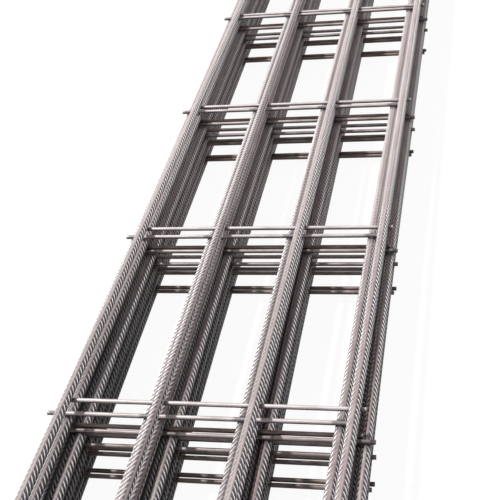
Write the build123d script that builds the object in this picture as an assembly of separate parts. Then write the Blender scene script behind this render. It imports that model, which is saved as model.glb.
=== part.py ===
from build123d import *
from math import copysign, cos, hypot, radians
import os

# A loose bundle of ten 4-bar trench mesh sheets, laid wire side to wire side so that they nest.
# X runs across the sheets, Y along them from the near end, Z up from the ground.

# One sheet: main bars along Y, cross wires along X, welded where they cross
sheet_length = 6000.0
bars_per_sheet = 4
bar_spacing = 100.0
bar_size = 11.4
bar_sides = 8
wire_pitch = 300.0
wires_per_sheet = int(sheet_length // wire_pitch)
wire_size = 5.0
wire_sides = 6
wire_overhang = 10.0
weld_sink = 1.0

# Room between sheets that lie on each other
lay_clearance = 0.3

# How the near ends are bowed, each on one arc over a reach from the end: the top sheet's end
# rises, the next two sheets' ends lean to the left and the lower sheets' ends swing to the right
near_end_rise = 26.0
near_end_lean = 5.0
long_reach = 1500.0
near_end_swing = 14.0
swing_reach = 850.0
risen = (0.0, near_end_rise, long_reach)
leaning = (-near_end_lean, 0.0, long_reach)
swung = (near_end_swing, 0.0, swing_reach)

# The sheets from the top of the bundle down, turned over at every second place. Each lies so far
# to the right of the top one, or beside the bars of the sheet above it with bar_gap between them,
# to the right or, if less than 0, to the left. Each is pushed so far along from the near end, or
# its wires lie nearer than those of the sheet above with wire_gap between them. A sheet that lies
# beside another is bowed as that one is.
sheets_from_top = [
    dict(right=0.0, along=8.4, bow=risen),
    dict(right=-14.0, wire_gap=0.4, bow=leaning),
    dict(bar_gap=0.6, along=0.5),
    dict(right=5.2, wire_gap=0.4, bow=swung),
    dict(bar_gap=-0.5, along=2.6),
    dict(right=4.6, wire_gap=7.0, bow=swung),
    dict(bar_gap=-0.5, along=-0.6),
    dict(right=-11.0, wire_gap=0.6, bow=swung),
    dict(bar_gap=0.8, along=-17.2),
    dict(right=-1.3, wire_gap=0.4, bow=swung),
]

# Heights that follow: a bar and its wires, and one turned-over sheet above the next upright one
weld_drop = bar_size / 2 + wire_size / 2 - weld_sink
contact_drop = bar_size / 2 + wire_size / 2 + lay_clearance


def bar_depth(index):
    # even places hold upright sheets, bars above wires, and odd ones hold turned-over sheets
    pair_depth = 2 * contact_drop * (index // 2)
    return pair_depth if index % 2 == 0 else pair_depth + contact_drop + weld_drop


def bow_at(along_sheet, bow):
    # how far a bowed sheet is off its straight line at this distance from its near end
    sideways, up, reach = bow
    whole_bow = hypot(sideways, up)
    if along_sheet >= reach:
        return Vector(0, 0, 0)
    radius = (reach**2 + whole_bow**2) / (2 * whole_bow)
    off_line = radius - (radius**2 - (reach - along_sheet) ** 2) ** 0.5
    return Vector(sideways, 0, up) * (off_line / whole_bow)


def main_bar(bow):
    # a straight prism from the far end, then one large arc to the near end
    far = Vector(0, sheet_length, 0)
    section = RegularPolygon(bar_size / 2, bar_sides, major_radius=False, rotation=180 / bar_sides)
    bow_start = Vector(0, bow[2], 0)
    path = Line(far, bow_start) + TangentArc(bow_start, bow_at(0, bow), tangent=(0, -1, 0))
    return sweep(Plane(origin=far, x_dir=(1, 0, 0), z_dir=(0, -1, 0)) * section, path=path)


def mesh_sheet(bow, wires_below):
    bar = main_bar(bow)
    pieces = [Pos(number * bar_spacing, 0, 0) * bar for number in range(bars_per_sheet)]
    wire_length = (bars_per_sheet - 1) * bar_spacing + 2 * wire_overhang
    wire_profile = RegularPolygon(wire_size / 2, wire_sides, major_radius=False)
    wire = extrude(Plane.YZ * wire_profile, wire_length)
    wire_level = -weld_drop if wires_below else weld_drop
    end_gap = (sheet_length - (wires_per_sheet - 1) * wire_pitch) / 2
    for number in range(wires_per_sheet):
        reach = end_gap + number * wire_pitch
        pieces.append(Pos(bow_at(reach, bow)) * Pos(-wire_overhang, reach, wire_level) * wire)
    return pieces[0] + pieces[1:]


# Where each sheet lies, from the table and the sizes of the bars and wires beside it
wire_width = wire_size / cos(radians(180 / wire_sides))
right, along, bow = 0.0, 0.0, risen
sheets = []
for index, lie in enumerate(sheets_from_top):
    if "bar_gap" in lie:
        right += copysign(bar_size, lie["bar_gap"]) + lie["bar_gap"]
    else:
        right, bow = lie["right"], lie["bow"]
    if "wire_gap" in lie:
        along -= wire_width + lie["wire_gap"]
    else:
        along = lie["along"]
    sheet = mesh_sheet(bow, wires_below=index % 2 == 0)
    sheets.append(Pos(right, along, -bar_depth(index)) * sheet)

# The frame's origin is under the middle of the bundle, on the ground
whole = Compound([solid for sheet in sheets for solid in sheet.solids()]).bounding_box()
to_frame = Pos(-whole.center().X, -whole.center().Y, -whole.min.Z)

os.makedirs("parts", exist_ok=True)
for index, sheet in enumerate(sheets):
    name = f"mesh_sheet_{index + 1:02d}"
    export_step(to_frame * sheet, f"parts/{name}.step")
    box = (to_frame * sheet).bounding_box()
    print(name, "solids", len(sheet.solids()), "volume", round(sheet.volume), box.min, box.max)
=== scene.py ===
import bpy
from math import cos, pi, radians, sin, tan
from mathutils import Matrix, Vector


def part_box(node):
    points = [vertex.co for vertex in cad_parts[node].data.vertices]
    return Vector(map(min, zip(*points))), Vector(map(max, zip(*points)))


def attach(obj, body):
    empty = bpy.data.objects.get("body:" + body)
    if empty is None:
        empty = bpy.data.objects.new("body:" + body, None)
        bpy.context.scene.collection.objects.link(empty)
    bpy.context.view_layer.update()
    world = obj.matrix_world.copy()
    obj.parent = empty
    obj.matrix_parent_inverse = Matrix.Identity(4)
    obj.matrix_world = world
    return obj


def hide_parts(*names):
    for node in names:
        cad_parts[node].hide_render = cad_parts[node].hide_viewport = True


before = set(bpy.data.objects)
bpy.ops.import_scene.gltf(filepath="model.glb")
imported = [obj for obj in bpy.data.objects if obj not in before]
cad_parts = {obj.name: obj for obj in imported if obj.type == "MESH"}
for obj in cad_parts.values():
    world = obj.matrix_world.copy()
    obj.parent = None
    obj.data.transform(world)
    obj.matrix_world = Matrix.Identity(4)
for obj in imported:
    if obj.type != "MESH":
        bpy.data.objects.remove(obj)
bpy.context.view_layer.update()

# The camera stands at the right of the bundle's near end and looks down along it. Its place is in
# metres in the frame; it and the angles follow from the grid of the top sheet.
camera_place = Vector((0.3023, -3.2450, 0.8609))
look_down = radians(37.24)
turn_left = radians(17.61)
roll_over = radians(-11.09)
photo_side = 500
focal_pixels = 1066.3
camera_data = bpy.data.cameras.new("photo_camera")
camera_data.sensor_width = 36.0
camera_data.lens = camera_data.sensor_width * focal_pixels / photo_side
camera_data.clip_start = 0.05
camera_data.clip_end = 200.0
camera = bpy.data.objects.new("photo_camera", camera_data)
camera.matrix_world = (
    Matrix.Translation(camera_place)
    @ Matrix.Rotation(turn_left, 4, "Z")
    @ Matrix.Rotation(pi / 2 - look_down, 4, "X")
    @ Matrix.Rotation(roll_over, 4, "Z")
)
bpy.context.scene.collection.objects.link(camera)
bpy.context.scene.camera = camera
bpy.context.scene.view_settings.view_transform = "Standard"


# Main bars: cold-rolled ribbed reinforcing bar, low-carbon rod drawn down and rolled between
# three rollers that press three rows of crescent ribs, one row slanted the other way.
MM = 0.001
bar_size = 11.4 * MM
bar_core = 5.2 * MM
rib_crest = 5.68 * MM
rib_pitch = 6.8 * MM
rib_half_width = 1.45 * MM
rib_reach = radians(54)
rib_slant = tan(radians(52))
rib_rows = 3
row_turn = 2 * pi / rib_rows


def linear_colour(hex_code):
    """An sRGB hex colour as the linear RGBA that Blender's sockets take."""
    channels = [int(hex_code[i:i + 2], 16) / 255 for i in (1, 3, 5)]
    linear = [c / 12.92 if c <= 0.04045 else ((c + 0.055) / 1.055) ** 2.4 for c in channels]
    return (*linear, 1.0)


def add_node(tree, kind, inputs=(), **settings):
    """Adds a node, makes its settings, then links or fills its inputs; a node gives its result."""
    node = tree.nodes.new(kind)
    for name, value in settings.items():
        setattr(node, name, value)
    for key, value in dict(inputs).items():
        if isinstance(value, bpy.types.Node):
            value = next(socket for socket in value.outputs if socket.enabled)
        if isinstance(value, bpy.types.NodeSocket):
            tree.links.new(value, node.inputs[key])
        elif isinstance(value, str) and value.startswith("#"):
            node.inputs[key].default_value = linear_colour(value)
        else:
            node.inputs[key].default_value = value
    return node


# One crescent rib over the top of the bar: a closed lens of ten triangles, its two ends and its
# two side corners sunk into the core
crest_turn = radians(27)
end_radius = bar_core - 0.05 * MM
side_radius = bar_core - 0.15 * MM
rib_points = [(-end_radius * sin(rib_reach), 0, end_radius * cos(rib_reach))]
rib_points += [
    (rib_crest * sin(turn), 0, rib_crest * cos(turn)) for turn in (-crest_turn, 0.0, crest_turn)
]
rib_points += [
    (end_radius * sin(rib_reach), 0, end_radius * cos(rib_reach)),
    (0, -rib_half_width, side_radius),
    (0, rib_half_width, side_radius),
]
rib_faces = [(k, 5, k + 1) for k in range(4)] + [(k, k + 1, 6) for k in range(4)]
rib_faces += [(0, 6, 5), (4, 5, 6)]
rib_mesh = bpy.data.meshes.new("crescent_rib")
rib_mesh.from_pydata(rib_points, [], rib_faces)
rib_mesh.update()
rib = bpy.data.objects.new("crescent_rib", rib_mesh)

# Cold-rolled ribbed steel, weeks outdoors: dull satin grey with a mauve to brown bloom, ribs
# rubbed bright with painted highlights on them, and dust with painted shade between them.
bar_steel = bpy.data.materials.new("cold_rolled_ribbed_steel")
bar_steel.use_nodes = True
tree = bar_steel.node_tree
tree.nodes.clear()
bar_place = add_node(tree, "ShaderNodeAttribute", attribute_name="bar place").outputs["Vector"]
sheet_place = add_node(tree, "ShaderNodeAttribute", attribute_name="sheet place").outputs["Vector"]
wire_level = add_node(tree, "ShaderNodeAttribute", attribute_name="wire level").outputs["Fac"]
# tone of each bar, with the deep sheets darkened as painted shade
tone = add_node(tree, "ShaderNodeAttribute", attribute_name="tone").outputs["Fac"]
mauve = add_node(tree, "ShaderNodeAttribute", attribute_name="mauve").outputs["Fac"]
plain = add_node(tree, "ShaderNodeAttribute", attribute_name="plain bar").outputs["Fac"]
object_place = add_node(tree, "ShaderNodeTexCoord").outputs["Object"]

# the rib rows again, as a pattern: row -1, 0 or 1 by the angle round the bar, then how far a
# point lies from the nearest rib's middle line, as a share of the pitch
xyz = add_node(tree, "ShaderNodeSeparateXYZ", {0: bar_place}).outputs
round_bar = add_node(tree, "ShaderNodeMath", {0: xyz["X"], 1: xyz["Z"]}, operation="ARCTAN2")
row = add_node(tree, "ShaderNodeMath", {
    0: round_bar, 1: 1 / row_turn, 2: 0.5,
}, operation="MULTIPLY_ADD")
row = add_node(tree, "ShaderNodeMath", {0: row}, operation="FLOOR")
off_row = add_node(tree, "ShaderNodeMath", {
    0: row, 1: -row_turn, 2: round_bar,
}, operation="MULTIPLY_ADD")
across = add_node(tree, "ShaderNodeMath", {0: off_row}, operation="SINE")
# the sign of the slant: row -1 leans one way, rows 0 and 1 the other
lean = add_node(tree, "ShaderNodeMath", {0: row, 1: -0.5}, operation="LESS_THAN")
lean = add_node(tree, "ShaderNodeMath", {0: lean, 1: 2.0, 2: -1.0}, operation="MULTIPLY_ADD")
lean = add_node(tree, "ShaderNodeMath", {0: lean, 1: across}, operation="MULTIPLY")
along = add_node(tree, "ShaderNodeMath", {
    0: lean, 1: -rib_slant * bar_core, 2: xyz["Y"],
}, operation="MULTIPLY_ADD")
along = add_node(tree, "ShaderNodeMath", {0: along, 1: 1 / rib_pitch}, operation="MULTIPLY")
along = add_node(tree, "ShaderNodeMath", {
    0: row, 1: -1 / rib_rows, 2: along,
}, operation="MULTIPLY_ADD")
off_rib = add_node(tree, "ShaderNodeMath", {0: along, 1: 0.5}, operation="PINGPONG")
# a crescent is widest at its middle and ends at its reach; the painted highlight on the rib is
# drawn a little wider than the rib, so that it shows
rib_highlight_spread = 1.3
rib_share = rib_highlight_spread * rib_half_width / rib_pitch
crescent = add_node(tree, "ShaderNodeMath", {0: off_row, 1: off_row}, operation="MULTIPLY")
crescent = add_node(tree, "ShaderNodeMath", {
    0: crescent, 1: -rib_share / rib_reach ** 2, 2: rib_share,
}, operation="MULTIPLY_ADD")
on_rib = add_node(tree, "ShaderNodeMath", {0: crescent, 1: off_rib}, operation="SUBTRACT")
on_rib = add_node(tree, "ShaderNodeMapRange", {
    "Value": on_rib, "From Min": 0.0, "From Max": 0.6 * rib_share,
}, interpolation_type="SMOOTHSTEP")
in_row = add_node(tree, "ShaderNodeMapRange", {
    "Value": crescent, "From Min": 0.0, "From Max": 0.5 * rib_share,
})
# bloom: patches about 60 mm long and 6 mm wide along the bar
patches_per_metre = (160, 17, 160)
patches = add_node(tree, "ShaderNodeMapping", {
    "Vector": object_place, "Scale": patches_per_metre,
})
patches = add_node(tree, "ShaderNodeTexNoise", {
    "Vector": patches, "Scale": 1.0, "Detail": 3.0, "Roughness": 0.55,
})
patches = add_node(tree, "ShaderNodeMapRange", {
    "Value": patches, "From Min": 0.34, "From Max": 0.6,
})
# dust streaks about 17 mm long and 1 mm wide along the bar
streaks_per_metre = (900, 60, 900)
streaks = add_node(tree, "ShaderNodeMapping", {
    "Vector": bar_place, "Scale": streaks_per_metre,
})
streaks = add_node(tree, "ShaderNodeTexNoise", {
    "Vector": streaks, "Scale": 1.0, "Detail": 3.0, "Roughness": 0.6,
})
streaks = add_node(tree, "ShaderNodeMapRange", {
    "Value": streaks, "From Min": 0.35, "From Max": 0.7, "To Min": 1.0, "To Max": 0.6,
})
# painted light and shade: the first half metre is kept dark, and past it every bar grows lighter
# over 400 mm, the dark ones most of all, standing in for more light reaching the deep bars there
painted_shade_end = 550.0 * MM
painted_light_full = 950.0 * MM
most_painted_light = 0.85
painted_light_ramp = add_node(tree, "ShaderNodeSeparateXYZ", {0: sheet_place}).outputs["Y"]
painted_light_ramp = add_node(tree, "ShaderNodeMapRange", {
    "Value": painted_light_ramp, "From Min": painted_shade_end, "From Max": painted_light_full,
}, interpolation_type="SMOOTHSTEP")
painted_lightening = add_node(tree, "ShaderNodeMath", {0: painted_light_ramp, 1: most_painted_light}, operation="MULTIPLY")
tone = add_node(tree, "ShaderNodeMix", {0: painted_lightening, 2: tone, 3: 1.0})
# dark to light steel by tone; the darkest tones, on the deep sheets, are painted shade
grey = add_node(tree, "ShaderNodeMix", {0: tone, 6: "#211d20", 7: "#d6c9c5"}, data_type="RGBA")
bloomed = add_node(tree, "ShaderNodeMix", {0: tone, 6: "#221a1f", 7: "#bb9c9f"}, data_type="RGBA")
bloom = add_node(tree, "ShaderNodeMath", {0: patches, 1: mauve}, operation="MULTIPLY")
steel = add_node(tree, "ShaderNodeMix", {0: bloom, 6: grey, 7: bloomed}, data_type="RGBA")
steel = add_node(tree, "ShaderNodeMix", {
    0: 1.0, 6: steel, 7: streaks,
}, data_type="RGBA", blend_type="MULTIPLY")
# dust with painted shade in the rows between the ribs, darkest on the dark bars, then rubbed ribs
# with painted highlights; both show most on the right sides, away from the sun
sunlit_side_share = 0.35
dust_and_shade_cover = 0.9
# painted light and shade: a mask by which way the surface faces, weakest on the sunlit left sides
shaded_side = add_node(tree, "ShaderNodeTexCoord").outputs["Normal"]
shaded_side = add_node(tree, "ShaderNodeSeparateXYZ", {0: shaded_side}).outputs["X"]
shaded_side = add_node(tree, "ShaderNodeMapRange", {
    "Value": shaded_side, "From Min": -0.25, "From Max": 0.35, "To Min": sunlit_side_share, "To Max": 1.0,
})
in_row = add_node(tree, "ShaderNodeMath", {0: in_row, 1: shaded_side}, operation="MULTIPLY")
# dust with painted shade in the rib valleys
dust_and_painted_shade = add_node(tree, "ShaderNodeMath", {0: in_row, 1: dust_and_shade_cover}, operation="MULTIPLY")
dust_and_shade_colour = add_node(tree, "ShaderNodeMix", {0: tone, 6: "#131114", 7: "#5b4f51"}, data_type="RGBA")
steel = add_node(tree, "ShaderNodeMix", {0: dust_and_painted_shade, 6: steel, 7: dust_and_shade_colour}, data_type="RGBA")
# painted highlight on the ribs, with rubbed wear, strongest on the right sides
rib_wear_and_highlight = add_node(tree, "ShaderNodeMath", {0: on_rib, 1: shaded_side}, operation="MULTIPLY")
rib_highlight_colour = add_node(tree, "ShaderNodeMix", {0: tone, 6: "#aea9af", 7: "#ffffff"}, data_type="RGBA")
steel = add_node(tree, "ShaderNodeMix", {0: rib_wear_and_highlight, 6: steel, 7: rib_highlight_colour}, data_type="RGBA")
# blue-black heat tint round each weld
weld_pitch = 300.0 * MM
end_gap = 150.0 * MM
full_heat = 4.0 * MM
no_heat = 12.0 * MM
heat_place = add_node(tree, "ShaderNodeSeparateXYZ", {0: sheet_place}).outputs
to_wire = add_node(tree, "ShaderNodeMath", {
    0: heat_place["Y"], 1: 1 / weld_pitch, 2: -end_gap / weld_pitch,
}, operation="MULTIPLY_ADD")
to_wire = add_node(tree, "ShaderNodeMath", {0: to_wire, 1: 0.5}, operation="PINGPONG")
to_wire = add_node(tree, "ShaderNodeMath", {0: to_wire, 1: weld_pitch}, operation="MULTIPLY")
above = add_node(tree, "ShaderNodeMath", {0: heat_place["Z"], 1: wire_level}, operation="SUBTRACT")
heat = add_node(tree, "ShaderNodeCombineXYZ", {"X": to_wire, "Y": above})
heat = add_node(tree, "ShaderNodeVectorMath", {0: heat}, operation="LENGTH").outputs["Value"]
heat = add_node(tree, "ShaderNodeMapRange", {
    "Value": heat, "From Min": full_heat, "From Max": no_heat, "To Min": 0.6, "To Max": 0.0,
})
steel = add_node(tree, "ShaderNodeMix", {0: heat, 6: steel, 7: "#3b383f"}, data_type="RGBA")
# mill pitting, and the ribs of the bars that have none in the mesh
pit_size = 1.0 * MM
pit_depth = 0.1 * MM
drawn_rib_height = 0.6 * MM
pitting = add_node(tree, "ShaderNodeTexNoise", {
    "Vector": object_place, "Scale": 1 / pit_size, "Detail": 2.0, "Roughness": 0.6,
})
pitted = add_node(tree, "ShaderNodeBump", {
    "Height": pitting.outputs[0], "Strength": 0.3, "Distance": pit_depth,
})
drawn_rib = add_node(tree, "ShaderNodeMath", {0: on_rib, 1: plain}, operation="MULTIPLY")
ribbed = add_node(tree, "ShaderNodeBump", {
    "Height": drawn_rib, "Strength": 1.0, "Distance": drawn_rib_height, "Normal": pitted,
})
roughness = add_node(tree, "ShaderNodeMapRange", {"Value": on_rib, "To Min": 0.55, "To Max": 0.4})
shader = add_node(tree, "ShaderNodeBsdfPrincipled", {
    "Base Color": steel, "Metallic": 0.25, "Roughness": roughness, "Normal": ribbed,
})
add_node(tree, "ShaderNodeOutputMaterial", {"Surface": shader})

# Cross wires: plain round wire, drawn through dies from the same rod, cut off square. Brighter
# and smoother than the bars, with fine drawing lines, brown where rain has stood on it, and
# painted shade along the underside.
bar_spacing = 100.0 * MM
wire_radius = 2.5 * MM
wire_overhang = 10.0 * MM
wire_steel = bpy.data.materials.new("drawn_steel_wire")
wire_steel.use_nodes = True
tree = wire_steel.node_tree
tree.nodes.clear()
sheet_place = add_node(tree, "ShaderNodeAttribute", attribute_name="sheet place").outputs["Vector"]
brown = add_node(tree, "ShaderNodeAttribute", attribute_name="wire brown").outputs["Fac"]
coordinates = add_node(tree, "ShaderNodeTexCoord").outputs
# drawing lines 0.6 mm apart along the wire, and brown patches about 25 mm long
lines_per_metre = (12, 1600, 1600)
patches_per_metre = (40, 220, 220)
lines = add_node(tree, "ShaderNodeMapping", {
    "Vector": coordinates["Object"], "Scale": lines_per_metre,
})
lines = add_node(tree, "ShaderNodeTexNoise", {
    "Vector": lines, "Scale": 1.0, "Detail": 2.0, "Roughness": 0.5,
})
patches = add_node(tree, "ShaderNodeMapping", {
    "Vector": coordinates["Object"], "Scale": patches_per_metre,
})
patches = add_node(tree, "ShaderNodeTexNoise", {
    "Vector": patches, "Scale": 1.0, "Detail": 4.0, "Roughness": 0.6,
})
# the browner the sheet's wires, the more of them the patches cover
patches = add_node(tree, "ShaderNodeMath", {0: patches, 1: brown}, operation="ADD")
patches = add_node(tree, "ShaderNodeMapRange", {
    "Value": patches, "From Min": 0.55, "From Max": 1.25,
})
clean = add_node(tree, "ShaderNodeMix", {0: lines, 6: "#b4aaab", 7: "#ded4d3"}, data_type="RGBA")
wire_colour = add_node(tree, "ShaderNodeMix", {
    0: patches, 6: clean, 7: "#685045",
}, data_type="RGBA")
# heat tint beside each bar, by the distance from its middle
full_heat = 5.5 * MM
no_heat = 10.0 * MM
to_bar = add_node(tree, "ShaderNodeSeparateXYZ", {0: sheet_place}).outputs["X"]
to_bar = add_node(tree, "ShaderNodeMath", {0: to_bar, 1: 1 / bar_spacing}, operation="MULTIPLY")
to_bar = add_node(tree, "ShaderNodeMath", {0: to_bar, 1: 0.5}, operation="PINGPONG")
heat = add_node(tree, "ShaderNodeMapRange", {
    "Value": to_bar,
    "From Min": full_heat / bar_spacing, "From Max": no_heat / bar_spacing,
    "To Min": 0.7, "To Max": 0.0,
})
wire_colour = add_node(tree, "ShaderNodeMix", {
    0: heat, 6: wire_colour, 7: "#4a4448",
}, data_type="RGBA")
# painted shade: dark brown along the underside, which the light from above does not reach
painted_underside_shade = add_node(tree, "ShaderNodeSeparateXYZ", {0: coordinates["Normal"]}).outputs["Z"]
painted_underside_shade = add_node(tree, "ShaderNodeMapRange", {
    "Value": painted_underside_shade, "From Min": -0.1, "From Max": 0.55, "To Min": 0.85, "To Max": 0.0,
})
wire_colour = add_node(tree, "ShaderNodeMix", {
    0: painted_underside_shade, 6: wire_colour, 7: "#3c2b2b",
}, data_type="RGBA")
line_depth = 0.1 * MM
scratched = add_node(tree, "ShaderNodeBump", {
    "Height": lines.outputs[0], "Strength": 0.3, "Distance": line_depth,
})
shader = add_node(tree, "ShaderNodeBsdfPrincipled", {
    "Base Color": wire_colour, "Metallic": 0.2, "Roughness": 0.45, "Normal": scratched,
})
add_node(tree, "ShaderNodeOutputMaterial", {"Surface": shader})

# Trench mesh sheets: four main bars laid out at 100 mm, and a cross wire every 300 mm that is
# resistance welded onto them, so that a small bead of squeezed-out steel stands in each corner.
bars_per_sheet = 4
outer_bars_apart = (bars_per_sheet - 1) * bar_spacing
sheet_length = 6000.0 * MM
weld_drop = 7.2 * MM
long_reach = 1500.0 * MM
swing_reach = 850.0 * MM
bow_steps = 10
core_sides = 18
wire_sides = 12
bead_toward_bar = 0.3
smallest_bead = (3.0 * MM, 2.9 * MM, 1.7 * MM)
largest_bead = (4.4 * MM, 3.9 * MM, 2.5 * MM)
sheet_tree = bpy.data.node_groups.new("trench mesh sheet", "GeometryNodeTree")
sheet_sizes = {
    "Sheet Length": sheet_length,
    "Bar Core Radius": bar_core,
    "Rib Pitch": rib_pitch,
    "Rib Slant": rib_slant,
    "Wire Radius": wire_radius,
    "Wire Length": outer_bars_apart + 2 * wire_overhang,
    "Wire Pitch": weld_pitch,
    "End Gap": end_gap,
    "Wire Level": weld_drop,
    "Wire Brown": 0.5,
    "Bow Reach": swing_reach,
}
sheet_tree.interface.new_socket("Bar Starts", in_out="INPUT", socket_type="NodeSocketGeometry")
for name, value in sheet_sizes.items():
    socket = sheet_tree.interface.new_socket(name, in_out="INPUT", socket_type="NodeSocketFloat")
    socket.default_value = value
for name in ("Place", "Bow"):
    sheet_tree.interface.new_socket(name, in_out="INPUT", socket_type="NodeSocketVector")
sheet_tree.interface.new_socket("Rib", in_out="INPUT", socket_type="NodeSocketObject")
for name in ("Bar Steel", "Wire Steel"):
    sheet_tree.interface.new_socket(name, in_out="INPUT", socket_type="NodeSocketMaterial")
sheet_tree.interface.new_socket("Sheet", in_out="OUTPUT", socket_type="NodeSocketGeometry")
tree = sheet_tree
given = add_node(tree, "NodeGroupInput").outputs
place = add_node(tree, "GeometryNodeInputPosition")
index = add_node(tree, "GeometryNodeInputIndex")

# core of one bar: short steps where the near end is bowed, then one long run to the far end
step = add_node(tree, "ShaderNodeMath", {0: given["Bow Reach"], 1: bow_steps}, operation="DIVIDE")
step = add_node(tree, "ShaderNodeCombineXYZ", {"Y": step})
line = add_node(tree, "GeometryNodeMeshLine", {"Count": bow_steps + 2, "Offset": step})
last = add_node(tree, "FunctionNodeCompare", {
    2: index, 3: bow_steps + 1,
}, data_type="INT", operation="EQUAL")
far_end = add_node(tree, "ShaderNodeCombineXYZ", {"Y": given["Sheet Length"]})
line = add_node(tree, "GeometryNodeSetPosition", {
    "Geometry": line, "Selection": last, "Position": far_end,
})
line = add_node(tree, "GeometryNodeMeshToCurve", {"Mesh": line})
ring = add_node(tree, "GeometryNodeCurvePrimitiveCircle", {
    "Resolution": core_sides, "Radius": given["Bar Core Radius"],
})
core = add_node(tree, "GeometryNodeCurveToMesh", {
    "Curve": line, "Profile Curve": ring, "Fill Caps": True,
})
facing = add_node(tree, "ShaderNodeSeparateXYZ", {0: add_node(tree, "GeometryNodeInputNormal")}).outputs
along_bar = add_node(tree, "ShaderNodeMath", {0: facing["Y"]}, operation="ABSOLUTE")
side = add_node(tree, "ShaderNodeMath", {0: along_bar, 1: 0.7}, operation="LESS_THAN")
core = add_node(tree, "GeometryNodeSetShadeSmooth", {"Geometry": core, "Selection": side})

# ribs of one bar: a station for each rib, row after row, each row a third of a pitch on; two
# pitches in all are left bare at the ends
rib_count = add_node(tree, "ShaderNodeMath", {
    0: given["Sheet Length"], 1: given["Rib Pitch"],
}, operation="DIVIDE")
rib_count = add_node(tree, "ShaderNodeMath", {0: rib_count}, operation="FLOOR")
rib_count = add_node(tree, "ShaderNodeMath", {
    0: rib_count, 1: rib_rows, 2: -2 * rib_rows,
}, operation="MULTIPLY_ADD")
stations = add_node(tree, "GeometryNodeMeshLine", {"Count": rib_count, "Offset": (0, 0, 0)})
row = add_node(tree, "ShaderNodeMath", {0: index, 1: rib_rows}, operation="FLOORED_MODULO")
station = add_node(tree, "ShaderNodeMath", {
    0: index, 1: 1 / rib_rows, 2: 1.0,
}, operation="MULTIPLY_ADD")
station = add_node(tree, "ShaderNodeMath", {0: station, 1: given["Rib Pitch"]}, operation="MULTIPLY")
station = add_node(tree, "ShaderNodeCombineXYZ", {"Y": station})
stations = add_node(tree, "GeometryNodeSetPosition", {"Geometry": stations, "Position": station})
turned = add_node(tree, "ShaderNodeMath", {0: row, 1: row_turn}, operation="MULTIPLY")
turned = add_node(tree, "ShaderNodeCombineXYZ", {"Y": turned})
rib_shape = add_node(tree, "GeometryNodeObjectInfo", {"Object": given["Rib"]}).outputs["Geometry"]
rib_across = add_node(tree, "ShaderNodeSeparateXYZ", {0: place}).outputs["X"]
lean = add_node(tree, "ShaderNodeMath", {0: rib_across, 1: given["Rib Slant"]}, operation="MULTIPLY")
third_row = add_node(tree, "ShaderNodeMath", {0: row, 1: 1.5}, operation="GREATER_THAN")
other_rows = add_node(tree, "ShaderNodeMath", {0: row, 1: 1.5}, operation="LESS_THAN")
ribs = add_node(tree, "GeometryNodeJoinGeometry")
for direction, rows in ((-1, other_rows), (1, third_row)):
    slant = add_node(tree, "ShaderNodeMath", {0: lean, 1: direction}, operation="MULTIPLY")
    slant = add_node(tree, "ShaderNodeCombineXYZ", {"Y": slant})
    slanted = add_node(tree, "GeometryNodeSetPosition", {"Geometry": rib_shape, "Offset": slant})
    rib_row = add_node(tree, "GeometryNodeInstanceOnPoints", {
        "Points": stations, "Selection": rows, "Instance": slanted, "Rotation": turned,
    })
    tree.links.new(rib_row.outputs[0], ribs.inputs[0])
ribs = add_node(tree, "GeometryNodeRealizeInstances", {0: ribs})
ribbed_bar = add_node(tree, "GeometryNodeJoinGeometry")
for part in (core, ribs):
    tree.links.new(part.outputs[0], ribbed_bar.inputs[0])

# the four bars, each with its ribs turned its own way; a plain one has its ribs in the bump
plain_bar = add_node(tree, "GeometryNodeInputNamedAttribute", {"Name": "plain bar"}, data_type="FLOAT")
rib_turn = add_node(tree, "GeometryNodeInputNamedAttribute", {"Name": "rib turn"}, data_type="FLOAT")
rib_turn = add_node(tree, "ShaderNodeCombineXYZ", {"Y": rib_turn})
is_plain = add_node(tree, "ShaderNodeMath", {0: plain_bar, 1: 0.5}, operation="GREATER_THAN")
is_ribbed = add_node(tree, "ShaderNodeMath", {0: plain_bar, 1: 0.5}, operation="LESS_THAN")
whole = add_node(tree, "GeometryNodeJoinGeometry")
for shape, chosen in ((ribbed_bar, is_ribbed), (core, is_plain)):
    placed = add_node(tree, "GeometryNodeStoreNamedAttribute", {
        "Geometry": shape, "Name": "bar place", "Value": place,
    }, data_type="FLOAT_VECTOR", domain="POINT")
    placed = add_node(tree, "GeometryNodeInstanceOnPoints", {
        "Points": given["Bar Starts"], "Selection": chosen, "Instance": placed, "Rotation": rib_turn,
    })
    tree.links.new(placed.outputs[0], whole.inputs[0])

# cross wires, spaced from the near end
wire_count = add_node(tree, "ShaderNodeMath", {
    0: given["Sheet Length"], 1: given["Wire Pitch"],
}, operation="DIVIDE")
wire_count = add_node(tree, "ShaderNodeMath", {0: wire_count}, operation="FLOOR")
first_wire = add_node(tree, "ShaderNodeCombineXYZ", {"Y": given["End Gap"], "Z": given["Wire Level"]})
next_wire = add_node(tree, "ShaderNodeCombineXYZ", {"Y": given["Wire Pitch"]})
wire_starts = add_node(tree, "GeometryNodeMeshLine", {
    "Count": wire_count, "Start Location": first_wire, "Offset": next_wire,
})
wire = add_node(tree, "GeometryNodeMeshCylinder", {
    "Vertices": wire_sides, "Radius": given["Wire Radius"], "Depth": given["Wire Length"],
})
wire = add_node(tree, "GeometryNodeTransform", {
    "Geometry": wire.outputs["Mesh"],
    "Rotation": (0, pi / 2, 0),
    "Translation": (outer_bars_apart / 2, 0, 0),
})
wires = add_node(tree, "GeometryNodeInstanceOnPoints", {"Points": wire_starts, "Instance": wire})

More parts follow.
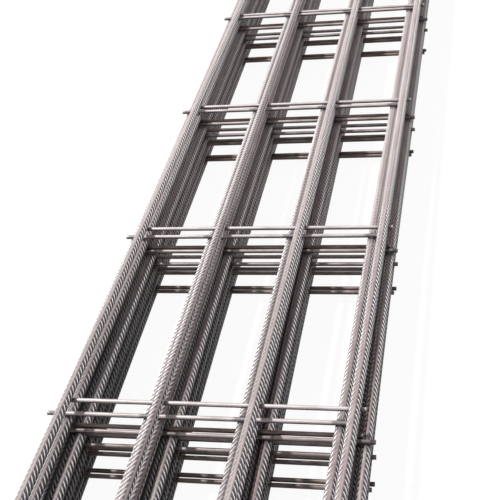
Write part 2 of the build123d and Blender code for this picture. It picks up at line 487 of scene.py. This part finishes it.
# a bead between wire and bar at each crossing, no two alike, its middle a little on the bar's
# side of the wire's
bead = add_node(tree, "GeometryNodeMeshUVSphere", {"Segments": 8, "Rings": 5, "Radius": 1.0})
crossings = add_node(tree, "GeometryNodeInstanceOnPoints", {
    "Points": given["Bar Starts"], "Instance": wire_starts,
})
crossings = add_node(tree, "GeometryNodeRealizeInstances", {0: crossings})
bead_size = add_node(tree, "FunctionNodeRandomValue", {
    0: smallest_bead, 1: largest_bead, "Seed": 4,
}, data_type="FLOAT_VECTOR")
beads = add_node(tree, "GeometryNodeInstanceOnPoints", {
    "Points": crossings, "Instance": bead.outputs["Mesh"], "Scale": bead_size,
})
sink = add_node(tree, "ShaderNodeMath", {
    0: given["Wire Level"], 1: -bead_toward_bar,
}, operation="MULTIPLY")
sink = add_node(tree, "ShaderNodeCombineXYZ", {"Z": sink})
beads = add_node(tree, "GeometryNodeTranslateInstances", {
    "Instances": beads, "Translation": sink, "Local Space": False,
})
drawn = add_node(tree, "GeometryNodeJoinGeometry")
for part in (wires, beads):
    tree.links.new(part.outputs[0], drawn.inputs[0])
drawn = add_node(tree, "GeometryNodeRealizeInstances", {0: drawn})
along_wire = add_node(tree, "ShaderNodeMath", {0: facing["X"]}, operation="ABSOLUTE")
side = add_node(tree, "ShaderNodeMath", {0: along_wire, 1: 0.99}, operation="LESS_THAN")
drawn = add_node(tree, "GeometryNodeSetShadeSmooth", {"Geometry": drawn, "Selection": side})
drawn = add_node(tree, "GeometryNodeStoreNamedAttribute", {
    "Geometry": drawn, "Name": "cross wire", "Value": 1.0,
}, data_type="FLOAT", domain="FACE")
tree.links.new(drawn.outputs[0], whole.inputs[0])
whole = add_node(tree, "GeometryNodeRealizeInstances", {0: whole})
for name, value, kind in (
    ("sheet place", place.outputs[0], "FLOAT_VECTOR"),
    ("wire level", given["Wire Level"], "FLOAT"),
    ("wire brown", given["Wire Brown"], "FLOAT"),
):
    whole = add_node(tree, "GeometryNodeStoreNamedAttribute", {
        "Geometry": whole, "Name": name, "Value": value,
    }, data_type=kind, domain="POINT")

# the near end bows off the straight line on a long arc, and the sheet goes to its place
y = add_node(tree, "ShaderNodeSeparateXYZ", {0: place}).outputs["Y"]
ahead = add_node(tree, "ShaderNodeMath", {0: y, 1: given["Bow Reach"]}, operation="DIVIDE")
ahead = add_node(tree, "ShaderNodeMath", {0: 1.0, 1: ahead}, operation="SUBTRACT")
ahead = add_node(tree, "ShaderNodeMath", {0: ahead, 1: 0.0}, operation="MAXIMUM")
ahead = add_node(tree, "ShaderNodeMath", {0: ahead, 1: ahead}, operation="MULTIPLY")
bowed = add_node(tree, "ShaderNodeVectorMath", {
    0: given["Bow"], 1: ahead, 2: given["Place"],
}, operation="MULTIPLY_ADD")
whole = add_node(tree, "GeometryNodeSetPosition", {"Geometry": whole, "Offset": bowed})
is_wire = add_node(tree, "GeometryNodeInputNamedAttribute", {"Name": "cross wire"}, data_type="FLOAT")
is_wire = add_node(tree, "ShaderNodeMath", {0: is_wire, 1: 0.5}, operation="GREATER_THAN")
whole = add_node(tree, "GeometryNodeSetMaterial", {"Geometry": whole, "Material": given["Bar Steel"]})
whole = add_node(tree, "GeometryNodeSetMaterial", {
    "Geometry": whole, "Selection": is_wire, "Material": given["Wire Steel"],
})
add_node(tree, "NodeGroupOutput", {0: whole})

# The ten sheets from the top down: how the near end is bowed in mm, how far round each bar's
# first rib row sits in degrees to the right of its top, how light and how mauve each bar is, the
# deep sheets painted near black as shade, how brown the wires are, and which bars, deep in the
# stack, are plain.
risen = dict(bow=(0.6, 0, 25.6), reach=long_reach)
leaning = dict(bow=(-4.98, 0, 0), reach=long_reach)
swung = dict(bow=(14, 0, 0), reach=swing_reach)
buried = dict(swung, tones_and_painted_shade=(0.04, 0.04, 0.06, 0.1), mauves=(0.5, 0.7, 0.8, 0.8), plain=(1, 2))
sheets = [
    dict(risen, turns=(62, 103, 60, 64), tones_and_painted_shade=(0.7, 0.75, 0.74, 0.74),
         mauves=(0.2, 0.5, 0.3, 0.6), brown=0.1),
    dict(leaning, turns=(80, 100, 95, 75), tones_and_painted_shade=(0.4, 0.7, 0.6, 0.7),
         mauves=(0.5, 0.4, 0.4, 0.4), brown=0.15),
    dict(leaning, turns=(52, 112, 48, 55), tones_and_painted_shade=(0.42, 0.5, 0.62, 0.55),
         mauves=(0.6, 1.0, 1.0, 1.0), brown=0.65),
    dict(swung, turns=(50, 52, 48, 60), tones_and_painted_shade=(0.5, 0.62, 0.62, 0.75),
         mauves=(0.6, 0.9, 1.0, 1.0), brown=0.4),
    dict(swung, turns=(70, 60, 20, 90), tones_and_painted_shade=(0.02, 0.04, 0.06, 0.1),
         mauves=(0.6, 0.7, 0.8, 0.8), brown=0.4),
    dict(buried, turns=(50, 70, 60, 50), tones_and_painted_shade=(0.05, 0.08, 0.1, 0.12), brown=0.5),
    dict(buried, turns=(0, 20, 40, 60), brown=0.5),
    dict(buried, turns=(50, 20, 40, 60), brown=0.6),
    dict(buried, turns=(30, 20, 40, 60), brown=0.6),
    dict(buried, turns=(60, 50, 40, 60), brown=0.6),
]
for number, lie in enumerate(sheets):
    node = f"mesh_sheet_{number + 1:02d}"
    low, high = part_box(node)
    upright = number % 2 == 0
    # the side that the near end leans away from shows where the straight part lies
    if lie["bow"][0] < 0:
        left_bar = high.x - wire_overhang - outer_bars_apart
    else:
        left_bar = low.x + wire_overhang
    level = low.z + wire_radius + weld_drop if upright else low.z + bar_size / 2
    bar_starts = bpy.data.meshes.new("bar_starts")
    bar_starts.from_pydata([(k * bar_spacing, 0, 0) for k in range(bars_per_sheet)], [], [])
    for name, values in (
        ("rib turn", [radians(turn) for turn in lie["turns"]]),
        ("tone", lie["tones_and_painted_shade"]),
        ("mauve", lie["mauves"]),
        ("plain bar", [float(k in lie.get("plain", ())) for k in range(bars_per_sheet)]),
    ):
        bar_starts.attributes.new(name, "FLOAT", "POINT").data.foreach_set("value", values)
    start = bpy.data.objects.new("bar_starts", bar_starts)
    bpy.context.scene.collection.objects.link(start)
    weld = start.modifiers.new("weld", "NODES")
    weld.node_group = sheet_tree
    wanted = {
        "Wire Level": -weld_drop if upright else weld_drop,
        "Wire Brown": lie["brown"],
        "Bow": [part * MM for part in lie["bow"]],
        "Bow Reach": lie["reach"],
        "Place": (left_bar, high.y - sheet_length, level),
        "Rib": rib,
        "Bar Steel": bar_steel,
        "Wire Steel": wire_steel,
    }
    for item in sheet_tree.interface.items_tree:
        if item.in_out == "INPUT" and item.name in wanted:
            weld[item.identifier] = wanted[item.name]
    evaluated = start.evaluated_get(bpy.context.evaluated_depsgraph_get())
    mesh = bpy.data.meshes.new_from_object(evaluated)
    mesh.name = f"welded_sheet_{number + 1:02d}"
    bpy.data.objects.remove(start)
    bpy.data.meshes.remove(bar_starts)
    piece = bpy.data.objects.new(mesh.name, mesh)
    bpy.context.scene.collection.objects.link(piece)
    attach(piece, "root")
    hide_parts(node)
bpy.data.objects.remove(rib)

# Floor: matt paper, white to the camera where the sun reaches it and pale grey in the shadow.
# Its own colour is a dark grey, so that it throws little light up into the dark gaps.
floor_half = 60.0
floor_lift = 0.94
floor_mesh = bpy.data.meshes.new("floor")
floor_corners = [(x * floor_half, y * floor_half, 0) for x, y in ((-1, -1), (1, -1), (1, 1), (-1, 1))]
floor_mesh.from_pydata(floor_corners, [], [(0, 1, 2, 3)])
floor = bpy.data.objects.new("floor", floor_mesh)
bpy.context.scene.collection.objects.link(floor)


def seen_directly(tree):
    """1 for what the camera sees, straight, in a reflection or through glass, and else 0."""
    rays = add_node(tree, "ShaderNodeLightPath").outputs
    seen = rays["Is Camera Ray"]
    for kind in ("Is Glossy Ray", "Is Transmission Ray"):
        seen = add_node(tree, "ShaderNodeMath", {0: seen, 1: rays[kind]}, operation="MAXIMUM")
    return seen


paper = bpy.data.materials.new("matt_floor_paper")
paper.use_nodes = True
tree = paper.node_tree
tree.nodes.clear()
glow = add_node(tree, "ShaderNodeMath", {0: seen_directly(tree), 1: floor_lift}, operation="MULTIPLY")
matt = add_node(tree, "ShaderNodeBsdfDiffuse", {"Color": "#5d5d5d"})
lift = add_node(tree, "ShaderNodeEmission", {"Color": "#ffffff", "Strength": glow})
both = add_node(tree, "ShaderNodeAddShader", {0: matt, 1: lift})
add_node(tree, "ShaderNodeOutputMaterial", {"Surface": both})
floor_mesh.materials.append(paper)

# Light: a sun 4 degrees wide from the upper left and a little from the far end, as the shadows of
# the top bars on the cross wires show, and an even sky that lights at a third of white.
sky_light = 0.31
to_sun = Vector((-0.45, 0.12, 0.87))
world = bpy.data.worlds.new("studio")
bpy.context.scene.world = world
world.use_nodes = True
tree = world.node_tree
tree.nodes.clear()
strength = add_node(tree, "ShaderNodeMapRange", {
    "Value": seen_directly(tree), "To Min": sky_light, "To Max": 1.0,
})
sky = add_node(tree, "ShaderNodeBackground", {"Color": "#ffffff", "Strength": strength})
add_node(tree, "ShaderNodeOutputWorld", {"Surface": sky})
sun_data = bpy.data.lights.new("hazy_sun", "SUN")
sun_data.energy = 3.6
sun_data.angle = radians(4)
sun = bpy.data.objects.new("hazy_sun", sun_data)
sun.rotation_euler = to_sun.to_track_quat("Z", "Y").to_euler()
bpy.context.scene.collection.objects.link(sun)
